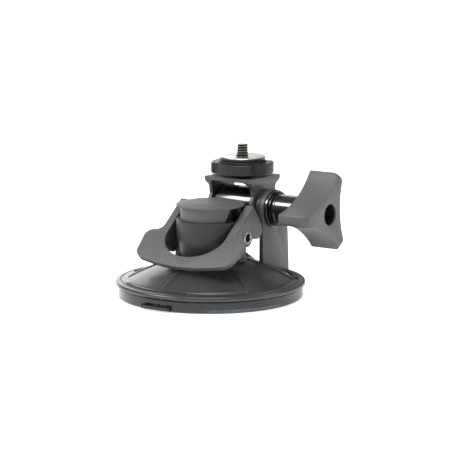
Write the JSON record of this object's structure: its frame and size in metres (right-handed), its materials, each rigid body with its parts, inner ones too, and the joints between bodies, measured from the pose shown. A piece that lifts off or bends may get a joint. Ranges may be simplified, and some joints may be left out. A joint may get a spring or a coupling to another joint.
{
  "type": "suction cup camera mount",
  "caption": "Lever-lock suction cup mount for a dash camera, with a tilting saddle, a clamp knob and a threaded camera screw.",
  "frame": {"origin": "centre of the suction pad's underside, on the glass", "axes": "+Z away from the glass, +X along the tilt axis towards the clamp knob, -Y towards the lever's handle"},
  "size_m": [0.0999, 0.0958, 0.073],
  "materials": {
    "clear_pvc": "clear soft PVC, slightly blue",
    "dome_plastic": "fine matte moulding",
    "housing_plastic": "satin moulding",
    "cap_plastic": "fine spark-eroded texture",
    "lever_plastic": "fine spark-eroded texture",
    "knob_plastic": "fine spark-eroded texture",
    "nut_plastic": "satin moulding",
    "drum_plastic": "glossy black acetal",
    "saddle_paint": "satin black powder coat",
    "pale_nylon": "natural nylon",
    "black_rubber": "matte",
    "screw_steel": "zinc plated",
    "spring_steel": "drawn wire",
    "sintered_steel": "sintered",
    "pin_steel": "satin nickel plated tube",
    "dark_steel": "black oxide",
    "plate_metal": "turned, satin",
    "brass": "turned"
  },
  "bodies": {
    "base": {"suction_pad": "clear_pvc", "pad_boss": "clear_pvc", "base_shell": "dome_plastic", "stem_bush": "pale_nylon", "plunger_housing": "housing_plastic", "housing_screws": "screw_steel", "neck_seal": "black_rubber", "release_spring": "spring_steel", "friction_washer": "black_rubber", "thrust_washer": "drum_plastic", "steel_washer": "dark_steel"},
    "plunger": {"plunger_cap": "cap_plastic", "cap_screws": "screw_steel", "plunger_frame": "pale_nylon", "plunger_stem": "screw_steel"},
    "lever": {"lever": "lever_plastic", "lever_pin": "pin_steel", "cam_sleeve": "sintered_steel"},
    "tilt_head": {"tilt_saddle": "saddle_paint", "tilt_drum": "drum_plastic", "clamp_bolt": "screw_steel", "bolt_cover": "drum_plastic", "camera_screw": "dark_steel", "screw_clip": "spring_steel"},
    "sleeve": {"knob_sleeve": "drum_plastic"},
    "knob": {"clamp_knob": "knob_plastic", "knob_insert": "brass"},
    "plate": {"camera_plate": "plate_metal"},
    "nut": {"thumb_nut": "nut_plastic"}
  },
  "joints": [
    {"name": "lever_lift", "type": "hinge", "parent": "base", "child": "lever", "pos_m": [0, 0.0005, 0.031], "axis": [-1, 0, 0], "range_deg": [0, 78]},
    {"name": "plunger_drop", "type": "slide", "parent": "base", "child": "plunger", "axis": [0, 0, -1], "range_m": [0, 0.00212], "deforming": ["release_spring", "pad_boss"]},
    {"name": "saddle_tilt", "type": "hinge", "parent": "base", "child": "tilt_head", "pos_m": [0, 0.0281, 0.0417], "axis": [-1, 0, 0], "range_deg": [-25, 90]},
    {"name": "sleeve_shift", "type": "slide", "parent": "tilt_head", "child": "sleeve", "axis": [1, 0, 0], "range_m": [0, 0.00201]},
    {"name": "knob_turn", "type": "hinge", "parent": "sleeve", "child": "knob", "pos_m": [0.044, 0.0281, 0.0417], "axis": [1, 0, 0], "range_deg": [0, 720]},
    {"name": "plate_rise", "type": "slide", "parent": "tilt_head", "child": "plate", "axis": [0, 0, 1], "range_m": [0, 0.00255]},
    {"name": "nut_turn", "type": "hinge", "parent": "plate", "child": "nut", "pos_m": [0, 0.0281, 0.061], "axis": [0, 0, 1], "range_deg": [0, 720]}
  ],
  "couplings": [
    {"joint": "plunger_drop", "follows": "lever_lift", "m_per_rad": 0.001551},
    {"joint": "sleeve_shift", "follows": "knob_turn", "m_per_rad": 0.00015915},
    {"joint": "plate_rise", "follows": "nut_turn", "m_per_rad": 0.00020213}
  ]
}
